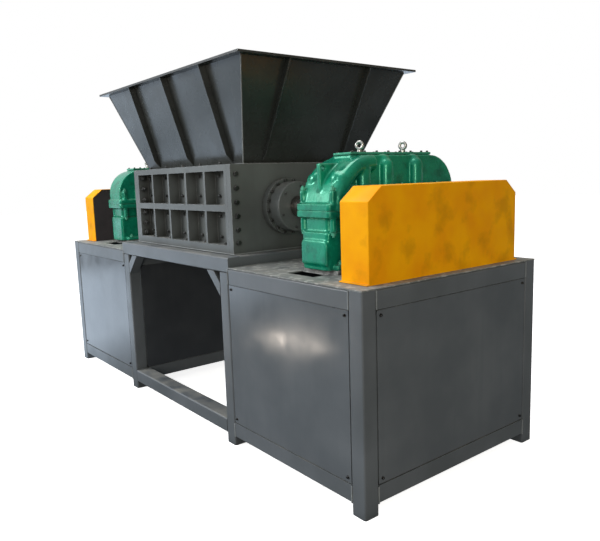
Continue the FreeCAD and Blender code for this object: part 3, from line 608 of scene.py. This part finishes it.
# %% Upright stop strips
def flat_bar(low, high):
    """A bar between two corners in millimetres, its edges broken."""
    bpy.ops.object.select_all(action="DESELECT")
    bpy.ops.mesh.primitive_cube_add(size=1.0)
    bar = bpy.context.object
    bpy.ops.object.mode_set(mode="EDIT")
    bpy.ops.transform.resize(value=[(b - a) * MM for a, b in zip(low, high)])
    bpy.ops.transform.translate(value=[(a + b) / 2 * MM for a, b in zip(low, high)])
    bpy.ops.object.mode_set(mode="OBJECT")
    bevel_edges(bar, 0.8, 1, lambda edge, angle: True)
    return bar


STRIP_WIDTH, STRIP_THICK = 25.0, 4.0
PANEL_FOOT, PANEL_TOP, INNER_PANEL_TOP = 130.0, 874.0, 850.0
strips = []
for x0 in (665.0, 1545.0):
    for y0 in (-598.0, 594.0):
        strips.append(flat_bar((x0, y0, PANEL_FOOT), (x0 + STRIP_WIDTH, y0 + STRIP_THICK, PANEL_TOP)))
for y0 in (-525.0, 500.0):
    for x0, top in ((1639.0, PANEL_TOP), (592.0, INNER_PANEL_TOP)):
        strips.append(flat_bar((x0, y0, PANEL_FOOT), (x0 + STRIP_THICK, y0 + STRIP_WIDTH, top)))
stops = joined(strips, "panel_stops")
smooth(stops)
print(len(strips), "stop strips")
both_sides(stops, "panel_stops", tube_paint, "grey_paint", replaces=False)
lips = joined([flat_bar((1428.0, y0, 961.0), (1598.0, y0 + 15.0, 966.0)) for y0 in (-524.0, 509.0)], "guard_lips")
smooth(lips)
both_sides(lips, "guard_lips", yellow_enamel, "yellow_enamel", replaces=False)

# %% [markdown]
# ## Weld beads
#
# A hand weld is a row of overlapping ripples. One ripple is a flattened ball; an Array modifier repeats it
# along the seam every few millimetres, and the row is then laid between two points. The seams that show are
# those where a rail meets a post, round the chamber's foot, round the hopper's foot and up its corners.

# %% Weld beads
def bead(start, end, size_mm):
    """One row of ripples between two points in millimetres."""
    path = Vector(end) - Vector(start)
    turned = Matrix.Translation(Vector(start) * MM) @ path.to_track_quat("Z", "Y").to_matrix().to_4x4()
    pitch = size_mm * 0.8
    bpy.ops.object.select_all(action="DESELECT")
    bpy.ops.mesh.primitive_uv_sphere_add(segments=8, ring_count=5, radius=size_mm * MM)
    ripple = bpy.context.object
    bpy.ops.object.mode_set(mode="EDIT")
    bpy.ops.transform.resize(value=(1.0, 1.0, 0.75))
    bpy.ops.object.mode_set(mode="OBJECT")
    row = ripple.modifiers.new("row", "ARRAY")
    row.use_relative_offset = False
    row.use_constant_offset = True
    row.constant_offset_displace = (0.0, 0.0, pitch * MM)
    row.count = max(2, int(path.length / pitch))
    only(ripple)
    bpy.ops.object.modifier_apply(modifier=row.name)
    ripple.data.transform(turned)
    return ripple


RAILS_Z = ((52.0, 128.0), (876.0, 953.0))
CHAMBER_FOOT, HOPPER_FOOT = 1012.0, 1484.0
seams = [((x, y, low), (x, y, top), 4.0) for y in (-604.0, 604.0) for x in (665.0, 1570.0) for low, top in RAILS_Z]
seams += [((1649.0, y, low), (1649.0, y, top), 4.0) for y in (-525.0, 525.0) for low, top in RAILS_Z]
seams += [((601.0, -519.0, CHAMBER_FOOT), (601.0, 519.0, CHAMBER_FOOT), 4.0),
          ((-600.0, -520.0, CHAMBER_FOOT), (600.0, -520.0, CHAMBER_FOOT), 4.0),
          ((-568.0, -417.0, HOPPER_FOOT), (568.0, -417.0, HOPPER_FOOT), 4.0),
          ((571.0, -415.0, HOPPER_FOOT), (571.0, 415.0, HOPPER_FOOT), 4.0)]
seams += [((569.0, side * 415.0, HOPPER_FOOT + 2.0), (814.0, side * 563.0, 1984.0), 3.5) for side in (-1, 1)]
beads = [bead(start, end, size_mm) for start, end, size_mm in seams]
welds = joined(beads, "weld_beads")
smooth(welds, 60.0)
print("weld beads", len(welds.data.polygons), "faces")
finished(half_turn(welds, "left_weld_beads"), weld_paint, "grey_paint")
finished(welds, weld_paint, "grey_paint")

# %% [markdown]
# ## Cast reducers
#
# A casting has no sharp edge: wherever two forms meet, the mould leaves a fillet. Rounding a hundred edges
# one by one is slow, so the welded copy is remeshed into small cubes of a few millimetres, and a smoothing
# pass melts its edges and corners alike. The split between base and cover stays as a fine groove.

# %% Melt the castings
def cast(obj, voxel_mm, rounds):
    """Remeshes a piece and smooths it, so that every edge and corner gets a fillet."""
    only(obj)
    remesh = obj.modifiers.new("remesh", "REMESH")
    remesh.mode = "VOXEL"
    remesh.voxel_size = voxel_mm * MM
    bpy.ops.object.modifier_apply(modifier=remesh.name)
    melt = obj.modifiers.new("melt", "SMOOTH")
    melt.factor = 0.5
    melt.iterations = rounds
    bpy.ops.object.modifier_apply(modifier=melt.name)
    only(obj)
    bpy.ops.object.shade_smooth()


# %% [markdown]
# ## Columns and arch of the cover
#
# Round columns with domed tops run up both sides of the cover, and a pipe-like swell follows the large arch
# over the driven shaft. A pattern maker lays turned half rounds on the wooden pattern. Here, whole cylinders
# and balls stand half sunk in the cover, and short cylinders laid in an arc give the pipe. The remesh then
# fuses them with the cover and leaves a fillet all round, as the sand mould does.

# %% Columns and arch
def cylinder(radius_mm, depth_mm, place_mm, direction):
    """A cylinder in millimetres along a direction, its place in its mesh."""
    bpy.ops.object.select_all(action="DESELECT")
    bpy.ops.mesh.primitive_cylinder_add(vertices=32, radius=radius_mm * MM, depth=depth_mm * MM)
    made = bpy.context.object
    made.data.transform(Matrix.Translation(Vector(place_mm) * MM) @
                        Vector(direction).to_track_quat("Z", "Y").to_matrix().to_4x4())
    return made


def ball(radius_mm, place_mm):
    """A ball in millimetres, its place in its mesh."""
    bpy.ops.object.select_all(action="DESELECT")
    bpy.ops.mesh.primitive_uv_sphere_add(segments=32, ring_count=16, radius=radius_mm * MM)
    made = bpy.context.object
    made.data.transform(Matrix.Translation(Vector(place_mm) * MM))
    return made


REDUCER_X, AXIS_Z, SHAFT_Y = 1171.9, 1250.0, 175.0
SWELL_OUT, COLUMN_FOOT = 98, 1275.0
COLUMNS = ((-222.0, 1474.0, 38.0), (-70.0, 1481.0, 38.0), (138.0, 1484.0, 38.0), (-350.0, 1420.0, 34.0))
PIPE_BEND, PIPE_RADIUS, PIPE_PIECES = 209.0, 38.0, 12
swells = []
for side in (-1, 1):
    x = REDUCER_X + side * SWELL_OUT
    for y, top, radius in COLUMNS:
        height = top - COLUMN_FOOT - radius
        swells.append(cylinder(radius, height, (x, y, (COLUMN_FOOT + top - radius) / 2), (0, 0, 1)))
        swells.append(ball(radius, (x, y, top - radius)))
    for k in range(PIPE_PIECES):
        angle = math.radians(92.0 + 7.6 * k)
        place = (x, -SHAFT_Y + PIPE_BEND * math.cos(angle), AXIS_Z + PIPE_BEND * math.sin(angle))
        swells.append(cylinder(PIPE_RADIUS, 44.0, place, (0, -math.sin(angle), math.cos(angle))))
print(len(swells), "swells")

# %% [markdown]
# ## Cast the reducers
#
# The base is cast as it is, and the cover together with its swells. The inspection cover is a machined plate
# that is bolted on, so its edges are only rounded.

# %% Cast the reducers
for part in ("reducer_base", "reducer_cover"):
    casting = welded_copy(f"right_{part}", part)
    if part == "reducer_cover":
        casting = joined(swells + [casting], part)
    cast(casting, 5.0, 4)
    print(part, len(casting.data.polygons), "faces")
    both_sides(casting, part, green_enamel, "green_enamel")
lid = welded_copy("right_inspection_cover", "inspection_cover")
bevel_edges(lid, 3.0, 3, sharp_edge)
smooth(lid)
both_sides(lid, "inspection_cover", green_enamel, "green_enamel")

# %% [markdown]
# ## Pieces that keep their shape
#
# The knives, combs, shafts and guard back plates already have the shape that shows, so they only get their
# material.

# %% Dress the rest
for name, material in (("knives", tool_steel), ("scraper_combs", tool_steel), ("knife_shaft", turned_steel)):
    for side in ("front", "rear"):
        data = nodes[f"{side}_{name}"].data
        data.materials.clear()
        data.materials.append(material)
for name, material in (("reducer_shafts", turned_steel), ("guard_back", dark_primer)):
    for side in ("right", "left"):
        data = nodes[f"{side}_{name}"].data
        data.materials.clear()
        data.materials.append(material)
print("dressed as packed:", [name for name in nodes if nodes[name].data.materials and
                             nodes[name].data.materials[0] in (tool_steel, turned_steel, dark_primer)])


# %% [markdown]
# ## Bolts
#
# One hexagon bolt is modelled and copied to every place. It starts as a six-sided cylinder; its top edge is
# bevelled, as the chamfer of a real head, and a round washer lies under it. All bolts of one group are
# joined into one piece. Each is turned by a different angle, as a spanner leaves them.

# %% One bolt
def bolt(name, across_mm, head_mm, washer_mm, shank_mm=0.0):
    """A hexagon head on a washer, its underside at the origin and its axis along Z."""
    bpy.ops.object.select_all(action="DESELECT")
    radius = across_mm / math.sqrt(3) * MM
    bpy.ops.mesh.primitive_cylinder_add(vertices=6, radius=radius, depth=head_mm * MM,
                                        location=(0, 0, (2.5 + head_mm / 2) * MM))
    head = bpy.context.object
    bpy.ops.object.transform_apply(location=True, rotation=False, scale=False)
    bevel_edges(head, across_mm * 0.07, 1, lambda edge, angle: min(v.co.z for v in edge.verts) > head_mm * MM)
    parts = [head]
    bpy.ops.object.select_all(action="DESELECT")
    bpy.ops.mesh.primitive_cylinder_add(vertices=20, radius=washer_mm / 2 * MM, depth=2.5 * MM,
                                        location=(0, 0, 1.25 * MM))
    washer = bpy.context.object
    bpy.ops.object.transform_apply(location=True, rotation=False, scale=False)
    bevel_edges(washer, 0.5, 1, lambda edge, angle: angle > 1.0 and min(v.co.z for v in edge.verts) > 1.5 * MM)
    parts.append(washer)
    if shank_mm:
        bpy.ops.object.select_all(action="DESELECT")
        bpy.ops.mesh.primitive_cylinder_add(vertices=12, radius=across_mm / 3.2 * MM, depth=shank_mm * MM,
                                            location=(0, 0, (head_mm + shank_mm / 2) * MM))
        stud = bpy.context.object
        bpy.ops.object.transform_apply(location=True, rotation=False, scale=False)
        bevel_edges(stud, 1.0, 1, lambda edge, angle: angle > 1.0 and min(v.co.z for v in edge.verts) > head_mm * MM)
        parts.append(stud)
    return joined(parts, name)


def standing(place, direction, turn):
    """The matrix that puts a bolt at a place in millimetres, its head towards a direction."""
    point = Vector(place) * MM
    rotation = Vector(direction).to_track_quat("Z", "Y").to_matrix().to_4x4()
    return Matrix.Translation(point) @ rotation @ Matrix.Rotation(turn, 4, "Z")


def spread(template, name, places, material, slot):
    """Copies a bolt to every place, joins the copies, and repeats them half a turn round."""
    copies = []
    for index, (place, direction) in enumerate(places):
        for half in (0.0, math.pi):
            copy = bpy.data.objects.new(name, template.data.copy())
            bpy.context.collection.objects.link(copy)
            copy.data.transform(Matrix.Rotation(half, 4, "Z") @ standing(place, direction, 2.4 * index))
            copies.append(copy)
    whole = joined(copies, name)
    smooth(whole, 30.0)
    finished(whole, material, slot)
    print(name, len(copies), "bolts")


FRONT, BACK, RIGHT, LEFT, UP, DOWN = (0, -1, 0), (0, 1, 0), (1, 0, 0), (-1, 0, 0), (0, 0, 1), (0, 0, -1)
plate_bolt = bolt("plate_bolt", 24.0, 13.0, 28.0)
frame_nut = bolt("frame_nut", 30.0, 20.0, 38.0, 14.0)
ring_bolt = bolt("ring_bolt", 16.0, 9.0, 17.1)
small_screw = bolt("small_screw", 10.0, 5.0, 14.0)
cell_bolt = bolt("cell_bolt", 15.0, 10.0, 19.0, 6.0)
flange_bolt = bolt("flange_bolt", 20.0, 12.0, 28.0, 10.0)
templates = (plate_bolt, frame_nut, ring_bolt, small_screw, cell_bolt, flange_bolt)
print({template.name: len(template.data.polygons) for template in templates})

# %% [markdown]
# ## Bolts on the chamber
#
# The end plates are bolted to the side walls along both edges, and the nuts show in the outer cells. Each
# bearing housing has a ring of bolts and a cover with small screws. Bolts also sit in the chamber wall's
# cells and on the hopper's foot. The lists give places in millimetres, measured in the picture.

# %% Bolts on the chamber
END_X, RING_FACE, COVER_FACE = 600.0, 640.0, 725.0
PLATE_BOLTS_Z = (1432.0, 1358.0, 1284.0, 1212.0, 1141.0, 1073.0)
plate_places = [((END_X, y, z), RIGHT) for y in (-488.0, 488.0) for z in PLATE_BOLTS_Z]
spread(plate_bolt, "end_plate_bolts", plate_places, sprayed_bolt, "grey_paint")
ring_places = []
screw_places = []
for y in (-SHAFT_Y, SHAFT_Y):
    for k in range(16):
        angle = math.radians(22.5 * k + 8)
        ring_places.append(((RING_FACE, y + 142.5 * math.cos(angle), AXIS_Z + 142.5 * math.sin(angle)), RIGHT))
    for k in range(6):
        angle = math.radians(60 * k + 20)
        screw_places.append(((COVER_FACE, y + 112 * math.cos(angle), AXIS_Z + 112 * math.sin(angle)), RIGHT))
spread(ring_bolt, "housing_ring_bolts", ring_places, sprayed_bolt, "grey_paint")
spread(small_screw, "housing_cover_screws", screw_places, sprayed_bolt, "grey_paint")

CELL_X, CELL_LENGTH, CELL_RIB = -535.0, 199.6, 18.0
cell_places = []
nut_places = []
for column in range(5):
    left = CELL_X + column * (CELL_LENGTH + CELL_RIB)
    for z in (1316.0, 1425.0, 1205.0, 1090.0):
        cell_places.append(((left + 47.0, -451.0, z), FRONT))
    cell_places.append(((left + CELL_LENGTH - 42.0, -500.0, 1055.0), UP))
for z in (1428.0, 1359.0, 1285.0, 1206.0, 1138.0, 1075.0):
    nut_places.append(((-535.0, -488.0, z), RIGHT))
    nut_places.append(((535.0, -488.0, z), LEFT))
spread(cell_bolt, "chamber_wall_bolts", cell_places, sprayed_bolt, "grey_paint")
spread(frame_nut, "end_plate_nuts", nut_places, sprayed_bolt, "grey_paint")
foot_places = [((x, -472.0, 1483.0), UP) for x in (-430.0, -215.0, 0.0, 210.0, 425.0)]
spread(cell_bolt, "hopper_foot_bolts", foot_places, sprayed_bolt, "grey_paint")

# %% [markdown]
# ## Bolts on the reducers and panels
#
# The split flange of a reducer is held by tall bolts through bosses, with a head above and a nut below, and
# they were sprayed green with it. Bolts hold its feet, small screws its inspection cover and the panels.

# %% Bolts on the reducers and panels
BOSS_TOP, BOSS_FOOT, FOOT_TOP, LID_TOP = 1341.0, 1153.0, 1004.0, 1511.0
flange_places = []
for dy in (-240.0, -120.0, 125.0, 210.0, 330.0, 470.0, 575.0):
    for dx in (-105.0, 105.0):
        flange_places.append(((REDUCER_X + dx, -SHAFT_Y + dy, BOSS_TOP), UP))
        flange_places.append(((REDUCER_X + dx, -SHAFT_Y + dy, BOSS_FOOT), DOWN))
spread(flange_bolt, "reducer_flange_bolts", flange_places, green_enamel, "green_enamel")
foot_places = [((REDUCER_X + dx, y, FOOT_TOP), UP) for dx in (-108.0, 108.0) for y in (-380.0, -120.0, 130.0, 370.0)]
spread(flange_bolt, "reducer_foot_bolts", foot_places, green_enamel, "green_enamel")
LID_SCREWS_Y = (-240, -160, -80, 0, 80, 160, 240, 285)
cover_places = [((REDUCER_X + dx, y, LID_TOP), UP) for dx in (-50.0, 50.0) for y in LID_SCREWS_Y]
spread(small_screw, "inspection_cover_screws", cover_places, black_oxide, "tool_steel")
panel_places = []
for x in (690.0, 1546.0):
    for z in (156.0, 848.0):
        panel_places.append(((x, -602.0, z), FRONT))
        panel_places.append(((x, 602.0, z), BACK))
for y in (-500.0, 500.0):
    for z in (156.0, 848.0):
        panel_places.append(((1647.0, y, z), RIGHT))
spread(small_screw, "panel_screws", panel_places, black_oxide, "tool_steel")

# %% [markdown]
# ## Lifting eyes
#
# Two ring bolts stand on each inspection cover to lift it. A torus gives the ring, a short collar joins it
# to the plate, and both are zinc plated, which catches the light.

# %% Ring bolts
eyes = []
for y in (-145.0, 157.0):
    bpy.ops.object.select_all(action="DESELECT")
    bpy.ops.mesh.primitive_torus_add(major_radius=16 * MM, minor_radius=7.5 * MM, major_segments=28,
                                     minor_segments=12, location=(0, 0, 0),
                                     rotation=(math.radians(90), 0, math.radians(25)))
    ring = bpy.context.object
    bpy.ops.object.transform_apply(location=False, rotation=True, scale=False)
    ring.data.transform(Matrix.Translation((REDUCER_X * MM, y * MM, (LID_TOP + 34) * MM)))
    bpy.ops.object.select_all(action="DESELECT")
    bpy.ops.mesh.primitive_cylinder_add(vertices=20, radius=13 * MM, depth=14 * MM,
                                        location=(REDUCER_X * MM, y * MM, (LID_TOP + 7) * MM))
    collar = bpy.context.object
    bpy.ops.object.transform_apply(location=True, rotation=False, scale=False)
    bevel_edges(collar, 3.0, 2, lambda edge, angle: angle > 1.0 and min(v.co.z for v in edge.verts) > 1.52)
    eyes += [ring, collar]
eye = joined(eyes, "right_lifting_eyes")
smooth(eye, 40.0)
finished(half_turn(eye, "left_lifting_eyes"), zinc_plate, "machined_steel")
finished(eye, zinc_plate, "machined_steel")
print("lifting eyes", len(eye.data.polygons), "faces on each side")
for template in templates:
    bpy.data.objects.remove(template)

# %% [markdown]
